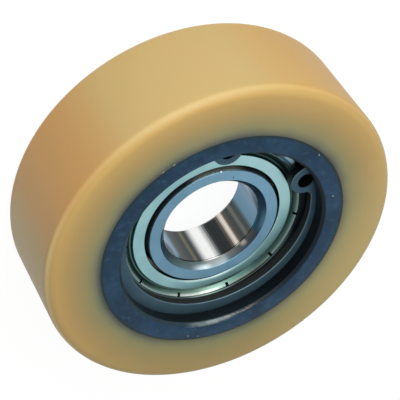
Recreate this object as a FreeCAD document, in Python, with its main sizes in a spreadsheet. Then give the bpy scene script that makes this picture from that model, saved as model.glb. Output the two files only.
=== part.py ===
import FreeCAD, Part
import Sketcher
import math
import os

# Guide roller: a cast tyre on a turned steel hub, running on a shielded ball bearing
# Millimetres. +Z is the roller's axis, towards the side that holds the circlip.
# The origin is the middle of the roller, and it stands on its plain back end.

doc = FreeCAD.newDocument("guide_roller")

# Driving dimensions
DIMENSIONS = [
    ("tread_d", 72.0, "outside diameter of the tyre"),
    ("roller_width", 22.5, "width of tyre and hub"),
    ("tread_round", 2.1, "rounding of the tread's two edges"),
    ("hub_wall", 4.3, "hub wall around the bearing seat"),
    ("mouth_chamfer", 0.65, "chamfer of the hub's two mouths"),
    ("shoulder_height", 2.5, "how far the hub's back shoulder stands in from the seat"),
    ("bearing_recess", 5.0, "from the front end to the bearing's face"),
    ("groove_depth", 1.25, "depth of the circlip groove below the seat"),
    ("groove_width", 2.0, "width of the circlip groove"),
    ("clip_sheet", 1.75, "thickness of the circlip"),
    ("clip_band", 3.7, "radial width of the circlip opposite its gap"),
    ("clip_offset", 0.87, "how far the inner circle lies off centre, towards the gap"),
    ("clip_edge", 0.2, "rounding that stamping leaves on the front outline"),
    ("lug_angle", 32.3, "half the angle between the two lug holes"),
    ("lug_inset", 2.6, "from the circlip's outer edge to each lug hole's centre"),
    ("lug_round", 3.08, "radius of each lug's end"),
    ("lug_hole_d", 3.4, "holes for the circlip pliers"),
    ("lug_root", 1.6, "fillet between each lug and the band"),
    ("lug_corner", 0.8, "rounding of the band's two outer corners"),
    ("bore_d", 20.0, "bore of the bearing"),
    ("bearing_d", 42.0, "outside diameter of the bearing, and the hub's seat"),
    ("bearing_width", 12.0, "width of both rings"),
    ("corner_width", 1.25, "radial width of the turned corner at the bore"),
    ("corner_depth", 1.35, "axial depth of that corner"),
    ("corner_blend", 0.3, "rounding where the corner runs into the bore"),
    ("corner_edge", 0.12, "rounding where the corner meets the ring's face"),
    ("face_chamfer", 0.15, "small chamfer where a ring's face meets the shield's room"),
    ("seat_round", 0.6, "corner radius at the outside of the bearing"),
    ("ball_d", 6.35, "diameter of a ball"),
    ("ball_count", 9, "balls in the bearing"),
    ("ball_play", 0.02, "running clearance between a ball and each raceway"),
    ("race_round", 3.302, "radius of the raceways' section"),
    ("land_gap", 1.9, "from the pitch circle to the land of each ring"),
    ("shield_play", 0.64, "gap between the inner ring's land and the shield's hole"),
    ("shield_ledge", 1.02, "ledge in the outer ring that the shield's edge stands on"),
    ("shield_sheet", 0.3, "thickness of the shield's sheet"),
    ("shield_sink", 0.57, "how deep the shield's flat lies below the end face"),
    ("channel_sink", 0.64, "depth of the channel below the flat"),
    ("channel_slope", 0.25, "radial run of the channel's inner slope"),
    ("channel_floor", 0.37, "radial width of the channel's floor"),
    ("rim_width", 0.42, "radial width of the curled rim's top"),
    ("rim_slope", 0.75, "radial run of the rim's inner side, which leans outwards"),
    ("rim_sink", 0.25, "how deep the curled rim's top lies below the end face"),
    ("curl_round", 0.3, "rounding of the curled rim's top"),
    ("notch_count", 10, "notches that cut the curled rim into tabs"),
    ("notch_step", 34.4, "angle from one notch to the next"),
    ("notch_width", 0.6, "width of a notch"),
    ("notch_start", 35.0, "angle of the first notch of the front shield"),
    ("cage_band", 2.6, "radial width of the cage's ribbon"),
    ("cage_sheet", 0.5, "thickness of the cage's ribbon"),
    ("pocket_play", 0.12, "clearance between a ball and its pocket"),
    ("rivet_d", 1.2, "shank of a cage rivet"),
    ("head_d", 1.9, "head of a cage rivet"),
    ("head_rise", 0.45, "height of a cage rivet's head"),
]

# Places and radii that follow from the driving dimensions
DERIVED = [
    ("tread_r", "tread_d / 2"),
    ("seat_r", "bearing_d / 2"),
    ("hub_r", "seat_r + hub_wall"),
    ("shoulder_r", "seat_r - shoulder_height"),
    ("groove_r", "seat_r + groove_depth"),
    ("back_z", "0 - roller_width / 2"),
    ("bearing_front_z", "roller_width / 2 - bearing_recess"),
    ("bearing_back_z", "bearing_front_z - bearing_width"),
    ("bearing_mid_z", "bearing_front_z - bearing_width / 2"),
    ("shoulder_top", "roller_width - bearing_recess - bearing_width"),
    ("groove_low", "roller_width - bearing_recess"),
    ("groove_high", "groove_low + groove_width"),
    ("clip_inner_r", "groove_r - clip_band + clip_offset"),
    ("lug_centre_r", "groove_r - lug_inset"),
    ("lug_hole_r", "lug_hole_d / 2"),
    ("gap_angle", "lug_angle - asin(lug_round / lug_centre_r) / 1 deg"),
    ("lug_touch_r", "sqrt(lug_centre_r ^ 2 - lug_round ^ 2)"),
    ("flank_r", "lug_centre_r + lug_round / 2"),
    ("bore_r", "bore_d / 2"),
    ("corner_r", "bore_r + corner_width"),
    ("far_corner", "bearing_width - corner_depth"),
    ("pitch_r", "(bore_d + bearing_d) / 4"),
    ("ball_r", "ball_d / 2"),
    ("ball_step", "360 / ball_count"),
    ("inner_race_r", "pitch_r - ball_r - ball_play + race_round"),
    ("outer_race_r", "pitch_r + ball_r + ball_play - race_round"),
    ("inner_land_r", "pitch_r - land_gap"),
    ("outer_land_r", "pitch_r + land_gap"),
    ("inner_face_r", "inner_land_r - face_chamfer"),
    ("shield_hole_r", "inner_land_r + shield_play"),
    ("shield_edge_r", "outer_land_r + shield_ledge"),
    ("shield_depth", "shield_sink + channel_sink + shield_sheet"),
    ("rim_r", "shield_edge_r - rim_width"),
    ("rim_foot_r", "rim_r - rim_slope"),
    ("slope_r", "rim_foot_r - channel_floor"),
    ("flat_r", "slope_r - channel_slope"),
    ("curl_r", "min(curl_round; rim_width * 0.45)"),
    ("bend_r", "min(shield_sheet / 2; channel_floor * 0.45)"),
    ("pocket_r", "ball_r + pocket_play"),
    ("dome_r", "pocket_r + cage_sheet"),
    ("cage_in_r", "pitch_r - cage_band / 2"),
    ("cage_out_r", "pitch_r + cage_band / 2"),
]

sheet = doc.addObject("Spreadsheet::Sheet", "Sizes")
for row, (alias, value, meaning) in enumerate(DIMENSIONS, start=1):
    sheet.set(f"A{row}", alias)
    sheet.set(f"B{row}", str(value))
    sheet.set(f"C{row}", meaning)
    sheet.setAlias(f"B{row}", alias)
for row, (alias, formula) in enumerate(DERIVED, start=len(DIMENSIONS) + 2):
    sheet.set(f"A{row}", alias)
    sheet.set(f"B{row}", "=" + formula)
    sheet.setAlias(f"B{row}", alias)
doc.recompute()

# How near two places count as the same one
SAME = 1e-5


def size(alias):
    """The number that the sheet holds or works out under this alias."""
    return float(getattr(sheet, alias))


def bind(thing, **expressions):
    """Ties properties to the sheet. A double underscore in a name stands for a dot."""
    for name, expression in expressions.items():
        thing.setExpression(name.replace("__", "."), expression)


def number(expression):
    """What an expression on the sheet's aliases comes to."""
    return float(sheet.evalExpression(expression))


def cell(expression):
    """The same expression as the other objects have to write it, with the sheet's name."""
    aliases = [alias for alias, *_ in DIMENSIONS] + [alias for alias, _ in DERIVED]
    words = []
    for word in expression.split():
        bare = word.strip("()")
        words.append(word.replace(bare, "Sizes." + bare) if bare in aliases else word)
    return " ".join(words)


def new_body(label):
    """An empty body whose label is the sub-part's name."""
    body = doc.addObject("PartDesign::Body", label)
    body.Label = label
    return body


def origin_part(body, role):
    """One of a body's own planes or axes."""
    return [part for part in body.Origin.OriginFeatures if part.Role == role][0]


def new_sketch(body, name, plane):
    """An empty sketch on one of a body's own planes."""
    sketch = body.newObject("Sketcher::SketchObject", name)
    sketch.AttachmentSupport = (origin_part(body, plane), [""])
    sketch.MapMode = "FlatFace"
    return sketch


def pin_point(sketch, geometry, which, across, along):
    """Ties one point of a sketch to two expressions, measured from the sketch's origin."""
    for kind, value, axis in (("DistanceX", across, -2), ("DistanceY", along, -1)):
        if value == "0":
            sketch.addConstraint(Sketcher.Constraint("PointOnObject", geometry, which, axis))
            continue
        datum = Sketcher.Constraint(kind, -1, 1, geometry, which, number(value))
        index = sketch.addConstraint(datum)
        sketch.setExpression(f"Constraints[{index}]", cell(value))


def polygon(sketch, corners):
    """A closed outline through corners given as pairs of expressions."""
    places = [FreeCAD.Vector(number(across), number(along), 0) for across, along in corners]
    count = len(places)
    for index, place in enumerate(places):
        line = Part.LineSegment(place, places[(index + 1) % count])
        sketch.addGeometry(line, False)
    for index in range(count):
        follower = (index + 1) % count
        sketch.addConstraint(Sketcher.Constraint("Coincident", index, 2, follower, 1))
    for index, (across, along) in enumerate(corners):
        pin_point(sketch, index, 1, across, along)


def circle(sketch, across, along, radius):
    """A circle whose centre and radius are expressions."""
    centre = FreeCAD.Vector(number(across), number(along), 0)
    normal = FreeCAD.Vector(0, 0, 1)
    index = sketch.addGeometry(Part.Circle(centre, normal, number(radius)), False)
    if across == "0" and along == "0":
        sketch.addConstraint(Sketcher.Constraint("Coincident", index, 3, -1, 1))
    else:
        pin_point(sketch, index, 3, across, along)
    datum = sketch.addConstraint(Sketcher.Constraint("Radius", index, number(radius)))
    sketch.setExpression(f"Constraints[{datum}]", cell(radius))


def turned(label, corners):
    """A body turned about Z from its half section, with corners as (radius, height)."""
    body = new_body(label)
    section = new_sketch(body, label + "_section", "XZ_Plane")
    polygon(section, corners)
    turning = body.newObject("PartDesign::Revolution", label + "_turned")
    turning.Profile = section
    turning.ReferenceAxis = (origin_part(body, "Z_Axis"), [""])
    turning.Angle = 360.0
    section.Visibility = False
    doc.recompute()
    return body


def turned_groove(body, name, across, along, radius):
    """A groove of round section, turned into a body."""
    section = new_sketch(body, name + "_section", "XZ_Plane")
    circle(section, across, along, radius)
    groove = body.newObject("PartDesign::Groove", name)
    groove.Profile = section
    groove.ReferenceAxis = (origin_part(body, "Z_Axis"), [""])
    groove.Angle = 360.0
    section.Visibility = False
    doc.recompute()


def round_edges(body, name, radius, wanted):
    """Fillets the tip's edges for which wanted(edge) is true."""
    base = body.Tip
    names = [f"Edge{index}" for index, edge in enumerate(base.Shape.Edges, start=1) if wanted(edge)]
    if not names:
        raise RuntimeError("no edge to round for " + name)
    fillet = body.newObject("PartDesign::Fillet", name)
    fillet.Base = (base, names)
    fillet.setExpression("Radius", cell(radius))
    doc.recompute()


def ring_at(*rings):
    """Picks the circular edges about Z that lie at any of these (radius, height) pairs."""
    places = [(number(radius), number(height)) for radius, height in rings]

    def wanted(edge):
        curve = edge.Curve
        if not isinstance(curve, Part.Circle):
            return False
        if math.hypot(curve.Center.x, curve.Center.y) > SAME:
            return False
        gaps = [math.hypot(curve.Radius - radius, curve.Center.z - height) for radius, height in places]
        return min(gaps) < SAME

    return wanted


def pad(body, name, sketch, length):
    """Raises a sketch on the body's XY plane by a length from the sheet."""
    feature = body.newObject("PartDesign::Pad", name)
    feature.Profile = sketch
    feature.setExpression("Length", cell(length))
    sketch.Visibility = False
    doc.recompute()


def cut_through(body, name, sketch, depth):
    """Cuts a sketch on the body's XY plane through to both sides."""
    feature = body.newObject("PartDesign::Pocket", name)
    feature.Profile = sketch
    feature.Midplane = True
    feature.setExpression("Length", cell(depth))
    sketch.Visibility = False
    doc.recompute()
    return feature


sub_parts = []


def keep(thing):
    """Adds a finished sub-part to the list that is written at the end."""
    sub_parts.append(thing)


# Tyre: one casting around the hub, flush with both of its ends
tyre = turned("tyre", [
    ("hub_r", "0"), ("tread_r", "0"), ("tread_r", "roller_width"), ("hub_r", "roller_width"),
])
round_edges(tyre, "tread_rounding", "tread_round",
            ring_at(("tread_r", "0"), ("tread_r", "roller_width")))
bind(tyre, Placement__Base__z="Sizes.back_z")
keep(tyre)

# Hub: turned sleeve with a back shoulder, the bearing's seat and the circlip groove
hub = turned("hub", [
    ("shoulder_r", "mouth_chamfer"), ("shoulder_r + mouth_chamfer", "0"),
    ("hub_r", "0"), ("hub_r", "roller_width"),
    ("seat_r + mouth_chamfer", "roller_width"), ("seat_r", "roller_width - mouth_chamfer"),
    ("seat_r", "groove_high"), ("groove_r", "groove_high"),
    ("groove_r", "groove_low"), ("seat_r", "groove_low"),
    ("seat_r", "shoulder_top"), ("shoulder_r", "shoulder_top"),
])
bind(hub, Placement__Base__z="Sizes.back_z")
keep(hub)


def on_ray(radius, angle, sign):
    """A point at a radius, turned from -Y by an angle; sign "" is the +X side, "0 - " the other."""
    return (f"{sign}{radius} * sin( {angle} )", f"0 - {radius} * cos( {angle} )")


def upright_corner(angle_low, angle_high):
    """Picks the circlip's upright corners whose angle from the gap's middle is in a range."""
    def wanted(edge):
        if not isinstance(edge.Curve, Part.Line) or edge.BoundBox.ZLength < size("clip_sheet") / 2:
            return False
        spot = edge.CenterOfMass
        turn = math.degrees(math.atan2(abs(spot.x), -spot.y))
        tangent = abs(math.hypot(spot.x, spot.y) - size("lug_touch_r")) < 1e-3
        return angle_low < turn < angle_high and not tangent
    return wanted


def front_outline(edge):
    """Picks the outline of the circlip's front face, apart from its two drilled holes."""
    drilled = isinstance(edge.Curve, Part.Circle) and edge.isClosed()
    return edge.BoundBox.ZMin > size("clip_sheet") - SAME and not drilled


def circlip():
    """Inner circlip: an eccentric band with two drilled lugs, stamped from sheet."""
    body = new_body("circlip")
    band = new_sketch(body, "circlip_band", "XY_Plane")
    circle(band, "0", "0", "groove_r")
    circle(band, "0", "0 - clip_offset", "clip_inner_r")
    pad(body, "circlip_sheet", band, "clip_sheet")
    for side, sign in (("left", "0 - "), ("right", "")):
        centre = on_ray("lug_centre_r", "lug_angle", sign)
        end = new_sketch(body, f"{side}_lug_end", "XY_Plane")
        circle(end, *centre, "lug_round")
        pad(body, f"{side}_lug", end, "clip_sheet")
        flank = new_sketch(body, f"{side}_lug_flank", "XY_Plane")
        polygon(flank, [centre, on_ray("lug_touch_r", "gap_angle", sign),
                        on_ray("flank_r", "gap_angle", sign)])
        pad(body, f"{side}_flank", flank, "clip_sheet")
    outside = new_sketch(body, "circlip_outside", "XY_Plane")
    circle(outside, "0", "0", "groove_r")
    circle(outside, "0", "0", "tread_r")
    cut_through(body, "circlip_trimmed", outside, "4 * clip_sheet")
    gap = new_sketch(body, "circlip_gap", "XY_Plane")
    polygon(gap, [("0", "0"), on_ray("tread_d", "gap_angle", "0 - "), on_ray("tread_d", "gap_angle", "")])
    cut_through(body, "circlip_opening", gap, "4 * clip_sheet")
    holes = new_sketch(body, "plier_holes_outline", "XY_Plane")
    for sign in ("0 - ", ""):
        circle(holes, *on_ray("lug_centre_r", "lug_angle", sign), "lug_hole_r")
    cut_through(body, "plier_holes", holes, "4 * clip_sheet")
    round_edges(body, "lug_roots", "lug_root", upright_corner(size("lug_angle"), 90.0))
    round_edges(body, "lug_corners", "lug_corner", upright_corner(0.0, size("lug_angle")))
    round_edges(body, "stamped_edge", "clip_edge", front_outline)
    bind(body, Placement__Base__z="Sizes.bearing_front_z")
    return body


keep(circlip())

# Inner ring of the bearing, which stands still on its stud
inner_ring = turned("bearing_inner_ring", [
    ("bore_r", "corner_depth"), ("corner_r", "0"),
    ("inner_face_r", "0"), ("inner_land_r", "face_chamfer"),
    ("inner_land_r", "bearing_width - face_chamfer"), ("inner_face_r", "bearing_width"),
    ("corner_r", "bearing_width"), ("bore_r", "far_corner"),
])
turned_groove(inner_ring, "inner_raceway", "inner_race_r", "bearing_width / 2", "race_round")
round_edges(inner_ring, "corner_into_bore", "corner_blend",
            ring_at(("bore_r", "corner_depth"), ("bore_r", "far_corner")))
round_edges(inner_ring, "corner_into_face", "corner_edge",
            ring_at(("corner_r", "0"), ("corner_r", "bearing_width")))
bind(inner_ring, Placement__Base__z="Sizes.bearing_back_z")
keep(inner_ring)

# Outer ring of the bearing, with a counterbore for a shield at each end
outer_ring = turned("bearing_outer_ring", [
    ("shield_edge_r", "face_chamfer"), ("shield_edge_r + face_chamfer", "0"),
    ("seat_r", "0"), ("seat_r", "bearing_width"),
    ("shield_edge_r + face_chamfer", "bearing_width"),
    ("shield_edge_r", "bearing_width - face_chamfer"),
    ("shield_edge_r", "bearing_width - shield_depth"),
    ("outer_land_r", "bearing_width - shield_depth"), ("outer_land_r", "shield_depth"),
    ("shield_edge_r", "shield_depth"),
])
turned_groove(outer_ring, "outer_raceway", "outer_race_r", "bearing_width / 2", "race_round")
round_edges(outer_ring, "seat_rounding", "seat_round",
            ring_at(("seat_r", "0"), ("seat_r", "bearing_width")))
bind(outer_ring, Placement__Base__z="Sizes.bearing_back_z")
keep(outer_ring)


def shield(label):
    """Pressed shield: flat ring, channel and curled rim cut into tabs. Its outside is up."""
    top = "0 - shield_sink"
    low = "0 - shield_sink - channel_sink"
    under_rim = "0 - rim_sink - shield_sheet"
    body = turned(label, [
        ("shield_hole_r", top), ("flat_r", top), ("slope_r", low), ("rim_foot_r", low),
        ("rim_r", "0 - rim_sink"), ("shield_edge_r", "0 - rim_sink"),
        ("shield_edge_r", "0 - shield_depth"),
        ("shield_edge_r - shield_sheet", "0 - shield_depth"),
        ("shield_edge_r - shield_sheet", under_rim),
        ("shield_edge_r - shield_sheet - rim_slope", "0 - shield_depth"),
        ("slope_r - shield_sheet", "0 - shield_depth"),
        ("flat_r - shield_sheet", "0 - shield_sink - shield_sheet"),
        ("shield_hole_r", "0 - shield_sink - shield_sheet"),
    ])
    round_edges(body, label + "_curl", "curl_r",
                ring_at(("rim_r", "0 - rim_sink"), ("shield_edge_r", "0 - rim_sink")))
    round_edges(body, label + "_bends", "bend_r",
                ring_at(("flat_r", top), ("slope_r", low), ("rim_foot_r", low),
                        ("shield_hole_r", top)))
    slot = new_sketch(body, label + "_notch_outline", "XY_Plane")
    inner = "rim_r - rim_slope / 2"
    outer = "shield_edge_r + rim_width"
    polygon(slot, [
        (inner, "0 - notch_width / 2"), (outer, "0 - notch_width / 2"),
        (outer, "notch_width / 2"), (inner, "notch_width / 2"),
    ])
    notch = cut_through(body, label + "_notch", slot, "4 * shield_depth")
    notches = body.newObject("PartDesign::PolarPattern", label + "_notches")
    notches.Originals = [notch]
    notches.Axis = (origin_part(body, "Z_Axis"), [""])
    bind(notches, Angle="Sizes.notch_step * (Sizes.notch_count - 1)", Occurrences="Sizes.notch_count")
    body.Tip = notches
    doc.recompute()
    return body


shield_front = shield("shield_front")
bind(shield_front, Placement__Base__z="Sizes.bearing_front_z")
shield_front.Placement.Rotation = FreeCAD.Rotation(FreeCAD.Vector(0, 0, 1), size("notch_start"))
bind(shield_front, Placement__Rotation__Angle="Sizes.notch_start")
keep(shield_front)

shield_back = shield("shield_back")
shield_back.Placement.Rotation = FreeCAD.Rotation(FreeCAD.Vector(1, 0, 0), 180)
bind(shield_back, Placement__Base__z="Sizes.bearing_back_z")
keep(shield_back)


def primitive(kind, label, **expressions):
    """A Part primitive whose sizes are tied to the sheet."""
    thing = doc.addObject(kind, label)
    thing.Label = label
    bind(thing, **expressions)
    return thing


def on_pitch_circle(thing, turns, height="Sizes.bearing_mid_z"):
    """Puts a piece on the pitch circle, a number of ball steps round from +X."""
    angle = f"Sizes.ball_step * {turns}"
    bind(thing, Placement__Base__x=f"Sizes.pitch_r * cos({angle})",
         Placement__Base__y=f"Sizes.pitch_r * sin({angle})", Placement__Base__z=height)


ball_count = int(size("ball_count"))
HALFWAY = 0.5

# Balls, spaced evenly on the pitch circle
for index in range(ball_count):
    ball = primitive("Part::Sphere", f"ball_{index + 1}", Radius="Sizes.ball_r")
    on_pitch_circle(ball, index)
    keep(ball)


def united(label, pieces):
    """Several pieces made one."""
    union = doc.addObject("Part::MultiFuse", label)
    union.Label = label
    union.Shapes = pieces
    return union


def cage_half(label):
    """One pressed half of the ribbon cage, flat on Z = 0 with its domes up."""
    on_floor = "0 * Sizes.pitch_r"
    ribbon = primitive("Part::Cylinder", label + "_disc", Radius="Sizes.cage_out_r",
                       Height="Sizes.cage_sheet")
    domes = []
    pockets = []
    holes = []
    for index in range(ball_count):
        dome = primitive("Part::Sphere", f"{label}_dome_{index + 1}", Radius="Sizes.dome_r")
        dome.Angle1 = 0.0
        on_pitch_circle(dome, index, on_floor)
        domes.append(dome)
        pocket = primitive("Part::Sphere", f"{label}_pocket_{index + 1}", Radius="Sizes.pocket_r")
        on_pitch_circle(pocket, index, on_floor)
        pockets.append(pocket)
        hole = primitive("Part::Cylinder", f"{label}_hole_{index + 1}", Radius="Sizes.rivet_d / 2",
                         Height="Sizes.dome_r")
        on_pitch_circle(hole, index + HALFWAY, on_floor)
        holes.append(hole)
    rough = united(label + "_rough", [ribbon] + domes)
    core = primitive("Part::Cylinder", label + "_core", Radius="Sizes.cage_in_r",
                     Height="Sizes.dome_r * 2")
    reach = primitive("Part::Cylinder", label + "_reach", Radius="Sizes.cage_out_r",
                      Height="Sizes.dome_r * 2")
    trimmed = doc.addObject("Part::Common", label + "_trimmed")
    trimmed.Base = rough
    trimmed.Tool = reach
    cutters = united(label + "_cutters", pockets + holes + [core])
    half = doc.addObject("Part::Cut", label)
    half.Label = label
    half.Base = trimmed
    half.Tool = cutters
    doc.recompute()
    return half


cage_front = cage_half("cage_front")
bind(cage_front, Placement__Base__z="Sizes.bearing_mid_z")
keep(cage_front)

cage_back = cage_half("cage_back")
cage_back.Placement.Rotation = FreeCAD.Rotation(FreeCAD.Vector(1, 0, 0), 180)
bind(cage_back, Placement__Base__z="Sizes.bearing_mid_z")
keep(cage_back)


def rivet_head(label, turns, side):
    """A domed rivet head standing on one side of the cage; side is 1 in front, -1 behind."""
    head = primitive("Part::Ellipsoid", label, Radius1="Sizes.head_rise",
                     Radius2="Sizes.head_d / 2", Radius3="Sizes.head_d / 2")
    head.Angle1 = 0.0 if side > 0 else -90.0
    head.Angle2 = 90.0 if side > 0 else 0.0
    on_pitch_circle(head, turns, f"Sizes.bearing_mid_z + Sizes.cage_sheet * {side}")
    return head


def rivets():
    """The cage's rivets, halfway between the balls, as one group of separate solids."""
    group = []
    for index in range(ball_count):
        turns = index + HALFWAY
        name = f"rivet_{index + 1}"
        shank = primitive("Part::Cylinder", name + "_shank", Radius="Sizes.rivet_d / 2",
                          Height="Sizes.cage_sheet * 2")
        on_pitch_circle(shank, turns, "Sizes.bearing_mid_z - Sizes.cage_sheet")
        heads = [rivet_head(name + "_front", turns, 1), rivet_head(name + "_back", turns, -1)]
        group.append(united(name, [shank] + heads))
    compound = doc.addObject("Part::Compound", "cage_rivets")
    compound.Label = "cage_rivets"
    compound.Links = group
    return compound


keep(rivets())

# Checks before anything is written
doc.recompute()
for thing in doc.Objects:
    if "Invalid" in thing.State or "Error" in thing.State:
        raise RuntimeError(f"{thing.Label} failed to build: {thing.State}")
for thing in sub_parts:
    if thing.Shape.isNull() or not thing.Shape.isValid() or not thing.Shape.Solids:
        raise RuntimeError(f"{thing.Label} has no valid solid")

os.makedirs("parts", exist_ok=True)
for thing in sub_parts:
    thing.Shape.exportStep(f"parts/{thing.Label}.step")
    print(f"{thing.Label}: {len(thing.Shape.Solids)} solids, {thing.Shape.Volume:.1f} cubic millimetres")
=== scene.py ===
# %% [markdown]
# # Guide roller
# A guide roller is a steel hub with a tyre of amber polyurethane cast around it. A ball
# bearing with a metal shield on each side sits in the hub, and a circlip holds it there.
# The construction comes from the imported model, and this lesson gives it its looks: the cast
# tyre, the blackened hub, the ground and polished bearing steel, and a plain pale studio.
# Every size is in metres, in the roller's own frame: Z is the axis, and the side with the
# circlip looks up.

# %% Load the roller
import math

import bpy
from mathutils import Matrix, Vector


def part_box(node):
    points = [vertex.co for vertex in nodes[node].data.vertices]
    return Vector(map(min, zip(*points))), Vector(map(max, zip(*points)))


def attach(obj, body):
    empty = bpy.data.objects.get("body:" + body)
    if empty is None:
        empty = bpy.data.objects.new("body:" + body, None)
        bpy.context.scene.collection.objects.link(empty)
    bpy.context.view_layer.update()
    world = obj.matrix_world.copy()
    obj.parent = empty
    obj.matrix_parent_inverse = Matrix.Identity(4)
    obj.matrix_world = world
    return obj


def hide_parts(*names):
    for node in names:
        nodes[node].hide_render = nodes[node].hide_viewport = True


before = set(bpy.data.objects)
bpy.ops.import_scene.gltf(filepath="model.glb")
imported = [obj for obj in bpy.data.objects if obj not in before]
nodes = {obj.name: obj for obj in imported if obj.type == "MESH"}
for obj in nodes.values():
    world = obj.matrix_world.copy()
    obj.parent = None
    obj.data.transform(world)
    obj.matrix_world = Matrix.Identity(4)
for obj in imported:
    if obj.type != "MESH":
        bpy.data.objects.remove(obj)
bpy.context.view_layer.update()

MM = 0.001

# %% [markdown]
# ## Sizes
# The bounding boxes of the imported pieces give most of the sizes, so that nothing is typed
# twice. Only what a box can't tell, such as the seat's chamfer, is written here by its name.


# %% Read the sizes from the frame
def outer_radius(name):
    """A turned piece's outer radius, which is its highest x."""
    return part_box(name)[1].x


def ends(name):
    """A piece's lowest and highest z."""
    low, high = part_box(name)
    return low.z, high.z


BACK, FRONT = ends("tyre")
TREAD_R = outer_radius("tyre")
HUB_R = outer_radius("hub")
SEAT_R = outer_radius("bearing_outer_ring")
RING_BACK, RING_FRONT = ends("bearing_outer_ring")
CLIP_TOP = ends("circlip")[1]
CLIP_INNER_R = 19.1 * MM
BORE_R = 10.0 * MM
CORNER_WIDTH = 1.25 * MM
INNER_FACE_R = 13.45 * MM
HOLE_R = 14.24 * MM
FLAT_R = 16.63 * MM
RIM_FOOT_R = 17.25 * MM
RIM_R = 18.0 * MM
TREAD_ROUND = 2.1 * MM
MOUTH_CHAMFER = 0.65 * MM
SHOULDER = 2.5 * MM
GROOVE_DEPTH = 1.25 * MM
GROOVE_WIDTH = 2.0 * MM
print("tread", TREAD_R / MM, "hub", HUB_R / MM, "seat", SEAT_R / MM, "width", (FRONT - BACK) / MM)

# %% [markdown]
# ## Camera
# The camera is where the photographer's was. Its place and its three directions were found by
# fitting the roller's circles to the picture: the lens is long, the camera looks down at
# the roller's face from the side, and it is rolled, so that the roller seems to lean.

# %% Set the camera
CAMERA_PLACE = Vector((197.125, -106.496, 203.534)) * MM
CAMERA_RIGHT = Vector((-0.7201222, -0.5674007, 0.3993500))
CAMERA_UP = Vector((0.2435451, -0.7456413, -0.6202459))
CAMERA_BACK = CAMERA_RIGHT.cross(CAMERA_UP)
LENS = 139.118
SENSOR = 36.0
CLIP_START = 0.01

camera_data = bpy.data.cameras.new("camera")
camera_data.lens = LENS
camera_data.sensor_width = SENSOR
camera_data.clip_start = CLIP_START
camera = bpy.data.objects.new("camera", camera_data)
bpy.context.scene.collection.objects.link(camera)
facing = Matrix((CAMERA_RIGHT, CAMERA_UP, CAMERA_BACK)).transposed()
camera.matrix_world = Matrix.Translation(CAMERA_PLACE) @ facing.to_4x4()
bpy.context.scene.camera = camera
bpy.context.scene.view_settings.view_transform = "Standard"
print("camera looks along", tuple(round(-v, 3) for v in CAMERA_BACK))

# %% [markdown]
# ## Shader maths in Python
# A material is a small sum over textures and places. Two short classes keep such sums
# readable: a Finish is one material, whose method node adds any node, and a Wire is one
# output of a node, which the usual signs of arithmetic work on.


# %% Wires and finishes
class Wire:
    """One output of a shader node, which plus, minus, times and the like work on."""

    def __init__(self, finish, socket):
        self.finish = finish
        self.socket = socket

    def sum(self, operation, *values):
        """What a Math node makes of the values."""
        return self.finish.node("ShaderNodeMath", {"operation": operation}, dict(enumerate(values)))

    def __add__(self, other):
        return self.sum("ADD", self, other)

    __radd__ = __add__

    def __sub__(self, other):
        return self.sum("SUBTRACT", self, other)

    def __rsub__(self, other):
        return self.sum("SUBTRACT", other, self)

    def __mul__(self, other):
        return self.sum("MULTIPLY", self, other)

    __rmul__ = __mul__

    def __truediv__(self, other):
        return self.sum("DIVIDE", self, other)

    def __pow__(self, other):
        return self.sum("POWER", self, other)

    def step(self, low, high):
        """0 below low, 1 above high, and a soft ramp between."""
        return self.finish.node(
            "ShaderNodeMapRange", {"interpolation_type": "SMOOTHSTEP"},
            {"Value": self, "From Min": low, "From Max": high})

    def band(self, low, high, soft):
        """1 between low and high, and 0 outside, with soft edges."""
        return self.step(low - soft, low + soft) * (1 - self.step(high - soft, high + soft))


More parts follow.
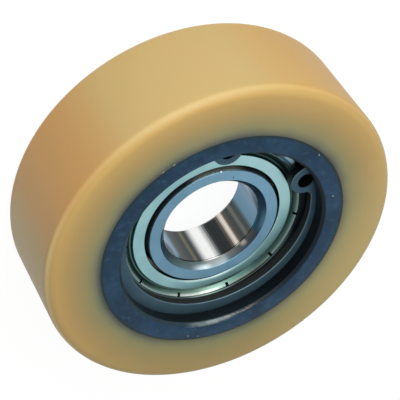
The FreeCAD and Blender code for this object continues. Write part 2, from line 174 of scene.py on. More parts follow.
class Finish:
    """One material, or the sky. Its method node adds a node and gives one of its outputs."""

    def __init__(self, name, shelf=bpy.data.materials):
        self.made = shelf.new(name)
        self.made.use_nodes = True
        self.tree = self.made.node_tree
        self.tree.nodes.clear()

    def node(self, kind, settings=None, inputs=None, output=0):
        """Adds a node with its settings, and sets or links its inputs."""
        made = self.tree.nodes.new(kind)
        for name, value in (settings or {}).items():
            if name == "stops":
                self.set_stops(made.color_ramp, value)
            else:
                setattr(made, name, value)
        for name, value in (inputs or {}).items():
            if isinstance(value, Wire):
                self.tree.links.new(value.socket, made.inputs[name])
            else:
                made.inputs[name].default_value = value
        return Wire(self, made.outputs[output]) if made.outputs else None

    def set_stops(self, ramp, stops):
        """Gives a colour ramp its stops, each a position and a colour."""
        ramp.elements[0].position, ramp.elements[0].color = stops[0]
        ramp.elements[1].position, ramp.elements[1].color = stops[-1]
        for position, colour in stops[1:-1]:
            ramp.elements.new(position).color = colour

    def mix(self, share, first, second):
        """A colour between two colours."""
        return self.node("ShaderNodeMix", {"data_type": "RGBA"}, {0: share, 6: first, 7: second}, 2)

    def patchy(self, clouds, first, second):
        """Two colours in soft patches, where clouds is a noise."""
        return self.mix(clouds.step(0.3, 0.7), first, second)

    def place(self):
        """The shaded point, its radius from the axis, its angle in turns, and its height."""
        spot = self.node("ShaderNodeTexCoord", output="Object")
        x, y, z = [self.node("ShaderNodeSeparateXYZ", inputs={0: spot}, output=k) for k in range(3)]
        radius = (x * x + y * y) ** 0.5
        angle = x.sum("ARCTAN2", y, x) / math.tau
        return spot, radius, angle, z

    def degrees(self, angle):
        """The angle from 0 to 360 degrees, where place gives it in turns from -0.5 to 0.5."""
        return (angle - angle.sum("FLOOR", angle)) * 360

    def towards(self, spot, degrees):
        """How far the point lies towards a compass angle: 1 at the tread there, -1 opposite."""
        angle = math.radians(degrees)
        way = (math.cos(angle) / TREAD_R, math.sin(angle) / TREAD_R, 0.0)
        return self.node("ShaderNodeVectorMath", {"operation": "DOT_PRODUCT"}, {0: spot, 1: way}, 1)

    def close_to(self, spot, radius, degrees, height, size):
        """1 at a place given in millimetres and degrees, and 0 from a distance of size on."""
        angle = math.radians(degrees)
        place = Vector((radius * math.cos(angle), radius * math.sin(angle), height)) * MM
        distance = self.node(
            "ShaderNodeVectorMath", {"operation": "DISTANCE"}, {0: spot, 1: place}, 1)
        return 1 - distance.step(size * 0.5 * MM, size * MM)

    def streaks(self, degrees, ground, bands):
        """A ground colour crossed by bands, each from an angle to an angle, with soft edges."""
        for first, last, soft, colour in bands:
            ground = self.mix(degrees.band(first, last, soft), ground, colour)
        return ground

    def noise(self, spot, scale, detail=2.0, roughness=0.5):
        """Soft random patches, scale of them to the metre, around the value 0.5."""
        return self.node("ShaderNodeTexNoise", inputs={
            "Vector": spot, "Scale": scale, "Detail": detail, "Roughness": roughness})

    def bump(self, height, distance, strength=1.0):
        """A surface direction that makes a plain form look raised by this height."""
        return self.node("ShaderNodeBump", inputs={
            "Height": height, "Distance": distance, "Strength": strength})

    def surface(self, **inputs):
        """Ends the material with a Principled surface."""
        shader = self.node("ShaderNodeBsdfPrincipled", inputs={
            name.replace("_", " "): value for name, value in inputs.items()})
        self.node("ShaderNodeOutputMaterial", inputs={"Surface": shader})
        return self.made

    def seen(self):
        """1 for what the camera sees, directly, in a gloss or through glass, and else 0."""
        rays = ("Is Camera Ray", "Is Glossy Ray", "Is Transmission Ray")
        camera, gloss, glass = [self.node("ShaderNodeLightPath", output=ray) for ray in rays]
        return camera.sum("MAXIMUM", camera.sum("MAXIMUM", camera, gloss), glass)


def paint(red, green, blue):
    """A colour as the screen shows it, from 0 to 255, turned into the light that it stands for."""
    # The screen's own curve: straight near black, and a power above that
    def light(value):
        share = value / 255
        return share / 12.92 if share <= 0.04045 else ((share + 0.055) / 1.055) ** 2.4
    return (light(red), light(green), light(blue), 1.0)


print("paint of middle grey", [round(v, 3) for v in paint(128, 128, 128)])

# %% [markdown]
# ## Turned pieces
# The tyre and the hub come off a lathe, so they are drawn as half a section and spun round
# the axis. The section starts as one vertex that is extruded from corner to corner. Its
# corners are then rounded one by one, because a real edge is never perfectly sharp and the
# small roundings are what catches the light.

# %% Draw and spin a section
SPIN_STEPS = 240
SMOOTH_ANGLE = math.radians(35)
MERGE = 1e-7
NEAR = 1e-6


def deselect_all():
    """Nothing selected: an operator acts on all that is selected."""
    bpy.ops.object.select_all(action="DESELECT")


def select_vertices(piece, wanted):
    """In edit mode, selects just the vertices for which wanted(place) is true."""
    bpy.ops.mesh.select_mode(type="VERT")
    bpy.ops.mesh.select_all(action="DESELECT")
    bpy.ops.object.mode_set(mode="OBJECT")
    for vertex in piece.data.vertices:
        vertex.select = wanted(vertex.co)
    bpy.ops.object.mode_set(mode="EDIT")


def section(name, corners):
    """A flat face in the XZ plane through corners, each a radius and a height."""
    deselect_all()
    bpy.ops.mesh.primitive_plane_add(size=MM)
    piece = bpy.context.active_object
    piece.name = name
    piece.data.name = name
    bpy.ops.object.mode_set(mode="EDIT")
    bpy.ops.mesh.merge(type="CENTER")
    first = corners[0]
    bpy.ops.transform.translate(value=(first[0], 0, first[1]))
    for before, after in zip(corners, corners[1:]):
        move = (after[0] - before[0], 0, after[1] - before[1])
        bpy.ops.mesh.extrude_region_move(TRANSFORM_OT_translate={"value": move})
    bpy.ops.mesh.select_all(action="SELECT")
    bpy.ops.mesh.edge_face_add()
    return piece


def round_corners(piece, places, radius, segments):
    """Rounds the section's corners that lie at these places."""
    spots = [Vector((across, 0, height)) for across, height in places]
    select_vertices(piece, lambda co: min((co - spot).length for spot in spots) < NEAR)
    bpy.ops.mesh.bevel(offset=radius, offset_type="OFFSET", segments=segments, affect="VERTICES")


def spin_section(piece):
    """Turns the section's outline once round Z, and closes and smooths the skin."""
    bpy.ops.mesh.select_all(action="SELECT")
    bpy.ops.mesh.delete(type="ONLY_FACE")
    bpy.ops.mesh.select_all(action="SELECT")
    bpy.ops.mesh.spin(steps=SPIN_STEPS, angle=math.tau, center=(0, 0, 0), axis=(0, 0, 1))
    bpy.ops.mesh.select_all(action="SELECT")
    bpy.ops.mesh.remove_doubles(threshold=MERGE)
    bpy.ops.mesh.normals_make_consistent(inside=False)
    bpy.ops.object.mode_set(mode="OBJECT")
    bpy.ops.object.shade_smooth_by_angle(angle=SMOOTH_ANGLE)
    print(piece.name, len(piece.data.polygons), "faces")


# %% [markdown]
# ## Tyre
# The tyre was cast around the hub and then turned flush with both ends. Its two tread edges have a
# generous rounding, which shows as a light line all round, made brighter by a highlight painted in
# the tyre's material. Where the casting meets the steel the edge is a little soft, as a knife
# leaves it when the flash is trimmed.

# %% Make the tyre
TRIM_ROUND = 0.06 * MM
TREAD_STEPS = 14
EDGE_STEPS = 3

tyre = section("tyre_casting", [(HUB_R, BACK), (TREAD_R, BACK), (TREAD_R, FRONT), (HUB_R, FRONT)])
round_corners(tyre, [(TREAD_R, BACK), (TREAD_R, FRONT)], TREAD_ROUND, TREAD_STEPS)
round_corners(tyre, [(HUB_R, BACK), (HUB_R, FRONT)], TRIM_ROUND, EDGE_STEPS)
spin_section(tyre)
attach(tyre, "rim")
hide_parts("tyre")

# %% [markdown]
# ## Hub
# The hub is a turned sleeve. Its section has the bearing's seat, the groove for the circlip,
# a shoulder behind the bearing and a chamfer at each mouth. Only the edges that a finger can
# reach are broken, and the groove's own edges stay sharp.

# %% Make the hub
EDGE_BREAK = 0.1 * MM
SHOULDER_R = SEAT_R - SHOULDER
GROOVE_R = SEAT_R + GROOVE_DEPTH
GROOVE_TOP = RING_FRONT + GROOVE_WIDTH

mouths = [
    (SHOULDER_R, BACK + MOUTH_CHAMFER), (SHOULDER_R + MOUTH_CHAMFER, BACK),
    (SEAT_R + MOUTH_CHAMFER, FRONT), (SEAT_R, FRONT - MOUTH_CHAMFER),
]
rims = [(HUB_R, BACK), (HUB_R, FRONT)]
hub = section("hub_sleeve", [
    mouths[0], mouths[1], rims[0], rims[1], mouths[2], mouths[3],
    (SEAT_R, GROOVE_TOP), (GROOVE_R, GROOVE_TOP), (GROOVE_R, RING_FRONT), (SEAT_R, RING_FRONT),
    (SEAT_R, RING_BACK), (SHOULDER_R, RING_BACK),
])
round_corners(hub, mouths + rims, EDGE_BREAK, EDGE_STEPS)
spin_section(hub)
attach(hub, "rim")
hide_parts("hub")

# %% [markdown]
# ## Specks
# Small crumbs of cured polyurethane and grit still cling to the hub's face. They were left
# where the photograph shows them. Each is a tiny ball that is squashed flat and made
# uneven, half sunk into the face.

# %% Scatter the specks
# Each speck has a radius in millimetres, an angle in degrees and a size in millimetres
SPECKS = [
    (24.7, -102.9, 0.17),
    (23.2, -132.6, 0.14),
    (24.2, 109.5, 0.12),
    (24.5, 115.0, 0.13),
    (25.5, -22.8, 0.2),
    (25.4, -28.1, 0.17),
]
SPECK_DETAIL = 3
SPECK_SHAPE = (1.5, 0.8, 0.5)
SPECK_TURN = 3
SPECK_UNEVEN = 0.2


def speck(index, radius, degrees, size):
    """One crumb on the front face, at a radius and an angle."""
    angle = math.radians(degrees)
    spot = Vector((radius * math.cos(angle), radius * math.sin(angle), 0)) * MM
    spot.z = FRONT
    deselect_all()
    bpy.ops.mesh.primitive_ico_sphere_add(
        subdivisions=SPECK_DETAIL, radius=size * MM, location=spot)
    crumb = bpy.context.active_object
    bpy.ops.object.mode_set(mode="EDIT")
    bpy.ops.mesh.select_all(action="SELECT")
    bpy.ops.transform.resize(value=SPECK_SHAPE, center_override=spot)
    bpy.ops.transform.rotate(value=angle * SPECK_TURN, orient_axis="Z", center_override=spot)
    bpy.ops.transform.vertex_random(offset=size * MM * SPECK_UNEVEN, seed=index + 1)
    bpy.ops.object.mode_set(mode="OBJECT")
    bpy.ops.object.transform_apply(location=True, rotation=True, scale=True)
    return crumb


crumbs = [speck(index, *values) for index, values in enumerate(SPECKS)]
deselect_all()
for crumb in crumbs:
    crumb.select_set(True)
bpy.context.view_layer.objects.active = crumbs[0]
bpy.ops.object.join()
specks = bpy.context.active_object
specks.name = "casting_specks"
bpy.ops.object.shade_smooth()
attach(specks, "rim")
print("specks", len(specks.data.polygons), "faces")

# %% [markdown]
# ## Polyurethane
# Cast polyurethane is amber and a little see-through. Over the thin edge of the dark hub it looks
# olive, and it warms to orange further out. The tread has been turned and run, so it is duller than
# the rounded edges, which also carry a painted highlight. Tints painted towards some sides stand in
# for light and shade.


# %% Polyurethane finish
def polyurethane():
    """Amber that is olive near the hub and duller on the tread, with painted light and shade
    towards some sides and a painted highlight along its rounded edges.
    """
    finish = Finish("amber_polyurethane")
    spot, radius, _, height = finish.place()
    out = (radius - HUB_R) / (TREAD_R - HUB_R)
    patches = finish.noise(spot, 90.0, 3.0)
    fine = finish.noise(spot, 1500.0, 2.0)
    wander = out + (patches - 0.5) * 0.08
    colour = finish.node("ShaderNodeValToRGB", {"stops": [
        (0.0, paint(38, 54, 52)),
        (0.04, paint(75, 90, 78)),
        (0.1, paint(110, 118, 92)),
        (0.2, paint(140, 139, 96)),
        (0.36, paint(162, 146, 94)),
        (0.58, paint(183, 153, 93)),
        (0.85, paint(202, 167, 97)),
        (1.0, paint(208, 175, 103)),
    ]}, {"Fac": wander})
    tread = radius.step(TREAD_R - 1.2 * MM, TREAD_R - 0.1 * MM)
    colour = finish.mix(tread * 0.75, colour, paint(192, 167, 108))
    colour = finish.mix((patches - 0.5) * 0.3 + 0.08, colour, paint(206, 172, 118))
    # Tints that each lie towards one side, on the tread or on the flat ends. Olive is painted shade
    # on the ends away from the lamp, amber is painted shade on the tread, the grey is a painted
    # reflection on the tread's grazing side, shade is painted shade beside the hub, and pale is
    # painted light on the ends; honey only makes one side of the tread more orange.
    olive = finish.towards(spot, 128.0).step(0.3, 1.0) * (1 - tread) * 0.42
    colour = finish.mix(olive, colour, paint(142, 141, 90))
    amber = finish.towards(spot, 4.0).step(0.88, 1.0) * tread * 0.45
    colour = finish.mix(amber, colour, paint(202, 128, 46))
    honey = finish.towards(spot, -98.0).step(0.78, 0.98) * tread * 0.52
    colour = finish.mix(honey, colour, paint(203, 148, 54))
    painted_grey_reflection = finish.towards(spot, 66.0).step(0.45, 1.0) * tread * 0.28
    colour = finish.mix(painted_grey_reflection, colour, paint(120, 126, 124))
    shade = (1 - radius.step(HUB_R, HUB_R + 1.2 * MM)) * finish.towards(spot, 20.0).step(0.0, 0.6)
    colour = finish.mix(shade * 0.5, colour, paint(44, 62, 58))
    pale = finish.towards(spot, 190.0).step(0.5, 1.0) * (1 - tread) * 0.65
    colour = finish.mix(pale, colour, paint(198, 184, 124))
    # The rounded edges, with a painted highlight that is stronger towards 66 degrees
    away = height.sum("ABSOLUTE", height)
    edge = radius.step(TREAD_R - 1.5 * MM, TREAD_R - 1.0 * MM) * away.band(
        FRONT - 1.3 * MM, FRONT - 0.6 * MM, 0.25 * MM)
    wear_and_highlight = finish.towards(spot, 66.0).step(0.4, 0.8) * 0.4 + 0.25
    colour = finish.mix(edge * wear_and_highlight, colour, paint(236, 210, 146))
    rough = 0.42 + tread * 0.06 + (fine - 0.5) * 0.12
    return finish.surface(
        Base_Color=colour, Roughness=rough, IOR=1.5,
        Subsurface_Weight=0.15, Subsurface_Radius=(1.0, 0.45, 0.2), Subsurface_Scale=1.5 * MM,
        Normal=finish.bump(fine, 0.02 * MM, 0.25))


def clothe(piece, material):
    """Gives a new piece its one material."""
    piece.data.materials.clear()
    piece.data.materials.append(material)


clothe(tyre, polyurethane())

# %% [markdown]
# ## Hub steel
# The hub is blackened steel with a blue cast. Its face is mottled, with a darker ring at its outer
# edge that is partly polyurethane over the edge and partly painted shade. Its inside is close to
# black: blackened steel in painted shade that is darkest on one side. The mouth's chamfer is dark
# too, with bands of painted light and shade round it, apart from one side, where it has been rubbed
# bright and holds a few crumbs.


# %% Hub finish
def hub_steel():
    """A mottled face, an inside close to black in painted shade, and a chamfer rubbed bright on one
    side.
    """
    finish = Finish("blued_hub_steel")
    spot, radius, angle, height = finish.place()
    mottle = finish.noise(spot, 700.0, 3.0, 0.6)
    clouds = finish.noise(spot, 120.0, 2.0)
    away = height.sum("ABSOLUTE", height)
    face = away.step(FRONT - 0.5 * MM, FRONT - 0.05 * MM)
    colour = finish.patchy(clouds, paint(27, 55, 78), paint(38, 72, 100))
    colour = finish.mix(mottle.step(0.52, 0.75) * 0.5, colour, paint(62, 98, 122))
    colour = finish.mix((1 - mottle.step(0.3, 0.45)) * 0.4, colour, paint(24, 44, 62))
    # A darker ring at the face's outer edge, partly polyurethane over the edge and partly painted
    # shade
    edge = radius.step(HUB_R - 0.8 * MM, HUB_R - 0.1 * MM)
    colour = finish.mix(edge * 0.9, colour, paint(36, 54, 54))
    # The inside, blackened steel painted near black as shade, and darkest towards 210 degrees as
    # painted shade
    painted_far_side_shade = finish.towards(spot, 210.0).step(-0.1, 0.4)
    colour = finish.mix(face, finish.mix(painted_far_side_shade, paint(27, 36, 40), paint(13, 20, 25)), colour)
    # The chamfer at the mouth, with lighter and darker bands by angle that are painted light and
    # shade
    degrees = finish.degrees(angle)
    near_face = away.step(FRONT - 0.7 * MM, FRONT - 0.6 * MM)
    lip = radius.band(SEAT_R, SEAT_R + 0.6 * MM, 0.1 * MM) * near_face
    colour = finish.mix(lip, colour, finish.streaks(degrees, paint(34, 50, 64), [
        (52, 106, 8.0, paint(44, 62, 74)),
        (136, 262, 8.0, paint(19, 30, 38)),
    ]))
    rubbed = finish.noise(spot, 260.0).step(0.3, 0.55) * 0.75
    wear_and_highlight = radius.band(SEAT_R + 0.15 * MM, SEAT_R + 0.92 * MM, 0.12 * MM) * near_face
    wear_and_highlight = wear_and_highlight * degrees.band(110, 131, 6.0)
    colour = finish.mix(wear_and_highlight * rubbed, colour, paint(128, 142, 142))
    grit = finish.noise(spot, 3200.0, 3.0, 0.7).step(0.42, 0.6) * radius.band(
        SEAT_R + 0.2 * MM, SEAT_R + 0.46 * MM, 0.07 * MM)
    gritty = near_face * grit * degrees.band(124, 147, 6.0)
    colour = finish.mix(gritty * 0.42, colour, paint(164, 152, 134))
    return finish.surface(
        Base_Color=colour, Metallic=0.7, Roughness=0.42 + (mottle - 0.5) * 0.3,
        Normal=finish.bump(mottle, 0.03 * MM, 0.25))


clothe(hub, hub_steel())

# %% [markdown]
# ## Bearing steel and the circlip
# The rings are ground, so their faces carry fine circles, and the bore is polished, with
# streaks that run along the axis. The shields are pressed from zinc-plated sheet, which looks
# faintly green. The circlip is spring steel with a dark phosphate coat.
#
# Polished steel shows what it mirrors, and a plain studio has little to mirror. So the light
# and dark streaks of the bore, the chamfers and the rims are painted as bands, each from an
# angle to an angle round the axis. A later band lies over an earlier one, and a band that
# crosses 0 degrees is written at both ends of the circle.


# %% Ring, shield, circlip and inner finishes
GRAIN_DEPTH = 0.01 * MM
GRAIN_STRENGTH = 0.15
SHIELD_GRAIN = 0.0004 * MM
RIM_CURL = 0.7
ROLL_WIDTH = 0.7 * MM
ROLL_BEND = 450.0


def ring_steel():
    """A ground face, a polished bore and the corner that leads from one to the other, with painted
    reflections on the bore and the corner.
    """
    finish = Finish("ground_ring_steel")
    spot, radius, angle, height = finish.place()
    around = finish.node("ShaderNodeCombineXYZ", inputs={0: radius, 1: angle * 0.004})
    circles = finish.noise(around, 3000.0, 2.0)
    clouds = finish.noise(spot, 250.0, 2.0)
    face = finish.patchy(clouds, paint(107, 151, 176), paint(119, 161, 186))
    face = finish.mix((circles - 0.5) * 0.4 + 0.1, face, paint(140, 172, 190))
    # A painted sheen on one side of the face
    sheen = finish.towards(spot, 265.0).step(0.08, 0.33) * 0.35
    face = finish.mix(sheen, face, paint(142, 190, 214))
    # The bore's painted reflections, as streaks by angle, with an edge that scratches make uneven
    degrees = finish.degrees(angle)
    scratches = finish.noise(finish.node("ShaderNodeCombineXYZ", inputs={0: angle}), 260.0, 3.0)
    unrolled = finish.node("ShaderNodeCombineXYZ", inputs={0: angle, 2: height * 6})
    lines = finish.noise(unrolled, 900.0, 3.0)
    along = degrees + (scratches - 0.5) * 6.0 + (lines - 0.5) * 4.0
    streaks = finish.streaks(along, paint(98, 132, 156), [
        (89, 189, 4.0, paint(68, 74, 74)),
        (108, 112, 2.0, paint(112, 108, 92)),
        (120.5, 137, 5.5, paint(250, 252, 250)),
        (142, 156, 3.5, paint(45, 49, 51)),
        (157, 169, 2.0, paint(96, 88, 78)),
        (160.5, 165.5, 2.0, paint(222, 215, 204)),
        (176.5, 180.5, 2.0, paint(108, 108, 102)),
        (214, 250, 4.0, paint(76, 112, 136)),
    ])
    streaks = finish.mix((scratches - 0.5) * 0.6, streaks, paint(154, 150, 138))
    scored = lines.step(0.58, 0.7) * degrees.band(96, 186, 4.0) * 0.3
    streaks = finish.mix(scored, streaks, paint(24, 24, 24))
    # Painted reflections on the corner's side towards the bore, and on its side towards the face
    corner_in = finish.streaks(degrees, paint(42, 74, 94), [
        (10, 26, 4.0, paint(210, 218, 222)),
        (26, 45, 6.0, paint(136, 166, 188)),
        (45, 65, 6.0, paint(84, 112, 130)),
        (65, 118, 12.0, paint(98, 116, 116)),
        (118, 146, 6.0, paint(104, 110, 110)),
        (146, 166, 4.0, paint(72, 74, 70)),
        (166, 173, 3.0, paint(156, 150, 142)),
        (174, 188, 3.0, paint(74, 78, 74)),
        (250, 300, 10.0, paint(74, 108, 134)),
    ])
    corner_out = finish.streaks(degrees, paint(40, 70, 90), [
        (8, 26, 4.0, paint(240, 246, 248)),
        (26, 45, 6.0, paint(78, 114, 136)),
        (45, 65, 6.0, paint(78, 110, 130)),
        (65, 105, 12.0, paint(104, 130, 138)),
        (107, 126, 8.0, paint(186, 200, 204)),
        (126, 146, 8.0, paint(112, 124, 126)),
        (146, 166, 4.0, paint(58, 70, 76)),
        (166, 188, 4.0, paint(56, 66, 74)),
        (194, 216, 8.0, paint(80, 112, 130)),
    ])
    # Which part of the ring the point lies on
    corner = finish.mix(radius.step(BORE_R + 0.3 * MM, BORE_R + 1.0 * MM), corner_in, corner_out)
    polished = 1 - radius.step(BORE_R, BORE_R + 0.03 * MM)
    land = radius.step(INNER_FACE_R, INNER_FACE_R + 0.06 * MM)
    bored = 1 - radius.step(BORE_R + CORNER_WIDTH - 0.12 * MM, BORE_R + CORNER_WIDTH)
    wall = 1 - radius.step(BORE_R + 0.03 * MM, BORE_R + 0.16 * MM)
    wall = wall.sum("MAXIMUM", wall, 1 - height.step(-1.0 * MM, 0.0))
    colour = finish.mix(bored, face, finish.mix(wall, corner, streaks))
    # The ring's outer land, with a painted reflection on one side and painted shade along its
    # broken edge on top
    land_grey = paint(84, 98, 104)
    side = finish.streaks(degrees, land_grey, [(284, 326, 8.0, paint(216, 218, 210))])
    broken = finish.streaks(degrees, land_grey, [
        (-10, 34, 5.0, paint(50, 60, 64)),
        (326, 370, 5.0, paint(50, 60, 64)),
    ])
    top = height.step(RING_FRONT - 0.2 * MM, RING_FRONT - 0.12 * MM)
    colour = finish.mix(land, colour, finish.mix(top, side, broken))
    # A glint and two small marks, each with a radius, an angle, a height and a size
    for *where, shade in [
            (13.7, 302.5, 6.2, 0.3, paint(250, 254, 254)),
            (11.9, 289.0, 6.25, 0.22, paint(40, 66, 104)),
            (10.0, 73.0, 3.0, 0.4, paint(46, 72, 116))]:
        colour = finish.mix(finish.close_to(spot, *where), colour, shade)
    rough = 0.34 + bored * 0.08 - polished * 0.26 + (circles - 0.5) * 0.1 + land * 0.2
    return finish.surface(
        Base_Color=colour, Metallic=1.0, Roughness=rough,
        Normal=finish.bump(circles, GRAIN_DEPTH, GRAIN_STRENGTH))


def plain_steel(name, dark, light, rough, metallic=1.0):
    """Steel of one colour with soft patches, for sheet metal, balls and what is inside."""
    finish = Finish(name)
    spot = finish.node("ShaderNodeTexCoord", output="Object")
    clouds = finish.noise(spot, 220.0, 3.0)
    grain = finish.noise(spot, 1800.0, 2.0)
    colour = finish.patchy(clouds, dark, light)
    return finish.surface(
        Base_Color=colour, Metallic=metallic, Roughness=(grain - 0.5) * 0.15 + rough,
        Normal=finish.bump(grain, GRAIN_DEPTH, GRAIN_STRENGTH))


def outer_ring_steel():
    """Dark steel, with painted reflections and shade where the ring's face shows inside the
    circlip, and painted near-black shade under the circlip.
    """
    finish = Finish("outer_ring_painted_reflections")
    spot, radius, angle, _ = finish.place()
    clouds = finish.noise(spot, 220.0, 3.0)
    degrees = finish.degrees(angle)
    # The narrow part of the face that shows inside the circlip, with painted reflections and shade
    # by angle; the rest is painted near black as shade
    open_face = 1 - radius.step(CLIP_INNER_R + 0.3 * MM, CLIP_INNER_R + 0.7 * MM)
    painted_reflection_tones = finish.patchy(clouds, paint(66, 82, 84), paint(80, 96, 98))
    painted_reflection_tones = finish.streaks(degrees, painted_reflection_tones, [
        (46, 76, 8.0, paint(110, 140, 146)),
        (112, 130, 6.0, paint(110, 130, 124)),
        (140, 162, 6.0, paint(50, 58, 56)),
        (190, 246, 8.0, paint(30, 40, 46)),
        (252, 262, 3.0, paint(66, 98, 112)),
        (264, 320, 3.0, paint(16, 20, 24)),
    ])
    colour = finish.mix(open_face, paint(18, 22, 25), painted_reflection_tones)
    # The inner edge's glint and the gleam in the circlip's gap
    inner_edge = 1 - radius.step(CLIP_INNER_R - 0.56 * MM, CLIP_INNER_R - 0.44 * MM)
    colour = finish.mix(inner_edge * degrees.band(257, 272, 2.5), colour, paint(140, 180, 190))
    gleam = radius.band(CLIP_INNER_R + 0.1 * MM, CLIP_INNER_R + 0.8 * MM, 0.1 * MM)
    colour = finish.mix(gleam * degrees.band(250.5, 259, 1.2), colour, paint(150, 186, 206))
    return finish.surface(Base_Color=colour, Metallic=1.0, Roughness=0.4 + (clouds - 0.5) * 0.1)


def shield_steel():
    """A pale flat, a channel in painted shade, and a leaning rim with painted reflections that
    curls over at its top.
    """
    finish = Finish("zinc_plated_shield")
    spot, radius, angle, _ = finish.place()
    clouds = finish.noise(spot, 220.0, 2.0)
    grain = finish.noise(spot, 1600.0, 2.0)
    colour = finish.patchy(clouds, paint(146, 192, 197), paint(160, 206, 209))
    # The flat, with painted light on one side and painted shade on another
    bright = finish.towards(spot, 255.0).step(0.1, 0.42) * 0.5
    colour = finish.mix(bright, colour, paint(186, 230, 232))
    shaded = finish.towards(spot, 165.0).step(0.2, 0.42) * 0.35
    colour = finish.mix(shaded, colour, paint(108, 150, 148))
    # The channel beside it in painted shade, a patch of painted shade at the rim's foot on one
    # side, and the rim that leans outwards with painted reflections by angle
    degrees = finish.degrees(angle)
    channel = radius.step(FLAT_R - 0.05 * MM, FLAT_R + 0.12 * MM)
    groove = finish.streaks(degrees, paint(75, 103, 99), [
        (84, 100, 12.0, paint(98, 124, 114)),
        (100, 134, 12.0, paint(104, 130, 120)),
        (142, 216, 8.0, paint(54, 80, 76)),
        (232, 300, 12.0, paint(52, 76, 77)),
    ])
    colour = finish.mix(channel, colour, groove)
    dim = radius.band(FLAT_R - 0.35 * MM, RIM_FOOT_R + 0.1 * MM, 0.12 * MM)
    colour = finish.mix(dim * degrees.band(123, 150, 6.0), colour, paint(60, 74, 66))
    flank = radius.step(RIM_FOOT_R + 0.38 * MM, RIM_R + 0.02 * MM)
    leaning = finish.streaks(degrees, paint(112, 136, 130), [
        (-10, 26, 8.0, paint(56, 80, 76)),
        (52, 100, 12.0, paint(146, 172, 166)),
        (100, 130, 10.0, paint(202, 214, 206)),
        (138, 166, 10.0, paint(82, 92, 86)),
        (235, 300, 10.0, paint(46, 64, 60)),
        (332, 370, 8.0, paint(56, 80, 76)),
    ])
    colour = finish.mix(flank, colour, leaning)
    # The hole's edge, with a painted highlight on one side
    at_hole = 1 - radius.step(HOLE_R + 0.3 * MM, HOLE_R + 0.8 * MM)
    colour = finish.mix(at_hole * degrees.band(102, 144, 9.0) * 0.6, colour, paint(232, 250, 248))
    # A bump makes the rim's flat top look curled, and one side of the hole's edge rolled
    curl = radius.sum("MAXIMUM", radius - RIM_R, 0.0) * RIM_CURL
    roll = radius.sum("MAXIMUM", HOLE_R + ROLL_WIDTH - radius, 0.0) * degrees.band(84, 168, 12.0)
    return finish.surface(
        Base_Color=colour, Metallic=1.0, Roughness=(grain - 0.5) * 0.08 + 0.3,
        Normal=finish.bump(grain * SHIELD_GRAIN + curl - roll * roll * ROLL_BEND, 1.0))


def circlip_steel():
    """A phosphated top with a painted highlight along its edge, and walls with painted shadow in
    the gap.
    """
    finish = Finish("phosphated_circlip")
    spot, _, angle, height = finish.place()
    clouds = finish.noise(spot, 260.0, 3.0)
    grain = finish.noise(spot, 1800.0, 2.0)
    top = finish.patchy(clouds, paint(52, 82, 100), paint(62, 94, 112))
    # Painted light on one side of the top
    lit = finish.towards(spot, 130.0).step(0.0, 0.5) * 0.5
    top = finish.mix(lit, top, paint(84, 112, 124))
    stamped = height.step(CLIP_TOP - 0.24 * MM, CLIP_TOP - 0.1 * MM)
    degrees = finish.degrees(angle)
    shadow = paint(9, 12, 15)
    walls = finish.streaks(degrees, paint(50, 52, 52), [
        (222, 250, 3.0, shadow),
        (290, 318, 3.0, shadow),
    ])
    # A painted highlight along the top edge
    edge = height.band(CLIP_TOP - 0.17 * MM, CLIP_TOP - 0.03 * MM, 0.03 * MM)
    colour = finish.mix(stamped, walls, top)
    colour = finish.mix(edge * 0.6, colour, paint(110, 130, 140))
    return finish.surface(
        Base_Color=colour, Metallic=0.6, Roughness=(grain - 0.5) * 0.15 + 0.5,
        Normal=finish.bump(grain, GRAIN_DEPTH, GRAIN_STRENGTH))


def dress(material, *names):
    """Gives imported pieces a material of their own."""
    for name in names:
        nodes[name].data.materials.clear()
        nodes[name].data.materials.append(material)


ball_names = [name for name in nodes if name.startswith("ball_")]
dress(ring_steel(), "bearing_inner_ring")
dress(outer_ring_steel(), "bearing_outer_ring")
dress(shield_steel(), "shield_front", "shield_back")
dress(circlip_steel(), "circlip")
dress(plain_steel("pressed_cage_steel", paint(96, 96, 90), paint(118, 116, 108), 0.5),
      "cage_front", "cage_back", "cage_rivets")
dress(plain_steel("polished_ball_steel", paint(190, 196, 200), paint(214, 218, 220), 0.12),
      *ball_names)
clothe(specks, plain_steel("pale_crumbs", paint(130, 142, 136), paint(164, 172, 162), 0.6, 0.0))
print("dressed", len(nodes), "packed pieces")

# %% [markdown]
# ## Studio
# The floor is plain and pale. To the camera and in reflections it glows almost white, as the
# photographer's paper does, and the rest of its light is real, so that the roller's shadow
# still falls on it. One large soft lamp lights the tread, and the sky fills the rest.

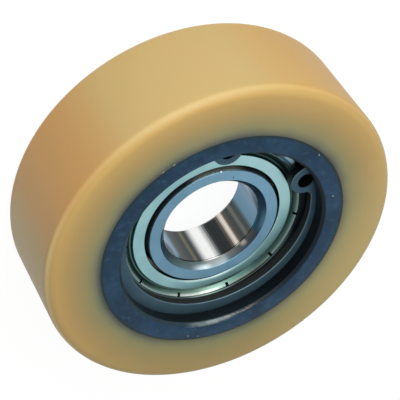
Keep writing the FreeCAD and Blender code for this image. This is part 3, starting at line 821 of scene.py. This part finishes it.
# %% Floor, sky and lamp
FLOOR_GAP = 0.02 * MM
FLOOR_SIZE = 6.0
FLOOR_PAPER = 235
FLOOR_GLOW = 0.94
FLOOR_FAINT = 0.12
floor_finish = Finish("pale_paper")
paper = floor_finish.node("ShaderNodeBsdfDiffuse", inputs={"Color": paint(*[FLOOR_PAPER] * 3)})
faint = floor_finish.node("ShaderNodeBsdfDiffuse", inputs={"Color": (*[FLOOR_FAINT] * 3, 1.0)})
glow = floor_finish.node("ShaderNodeEmission", inputs={"Strength": FLOOR_GLOW})
lit = floor_finish.node("ShaderNodeAddShader", inputs={0: faint, 1: glow})
both = floor_finish.node("ShaderNodeMixShader", inputs={0: floor_finish.seen(), 1: paper, 2: lit})
floor_finish.node("ShaderNodeOutputMaterial", inputs={"Surface": both})

deselect_all()
bpy.ops.mesh.primitive_plane_add(size=FLOOR_SIZE, location=(0, 0, BACK - FLOOR_GAP))
floor = bpy.context.active_object
floor.name = "floor"
floor.data.materials.append(floor_finish.made)

SKY_LIGHT = 0.4
SKY_SEEN = 1.0
sky = Finish("sky", bpy.data.worlds)
strength = sky.seen() * (SKY_SEEN - SKY_LIGHT) + SKY_LIGHT
background = sky.node("ShaderNodeBackground", inputs={"Strength": strength})
sky.node("ShaderNodeOutputWorld", inputs={"Surface": background})
bpy.context.scene.world = sky.made


def lamp(name, degrees, elevation, distance, size, power, colour):
    """A square lamp that looks at the roller's middle from a compass angle and a height."""
    light = bpy.data.lights.new(name, "AREA")
    light.size = size
    light.energy = power
    light.color = colour
    holder = bpy.data.objects.new(name, light)
    bpy.context.scene.collection.objects.link(holder)
    turned, raised = math.radians(degrees), math.radians(elevation)
    flat = math.cos(raised)
    away = Vector((flat * math.cos(turned), flat * math.sin(turned), math.sin(raised)))
    aim = away.to_track_quat("Z", "Y").to_matrix().to_4x4()
    holder.matrix_world = Matrix.Translation(away * distance) @ aim


lamp("key", degrees=-54.0, elevation=40.0, distance=0.24, size=0.22, power=0.49,
     colour=(1.0, 0.98, 0.94))
print("studio ready")
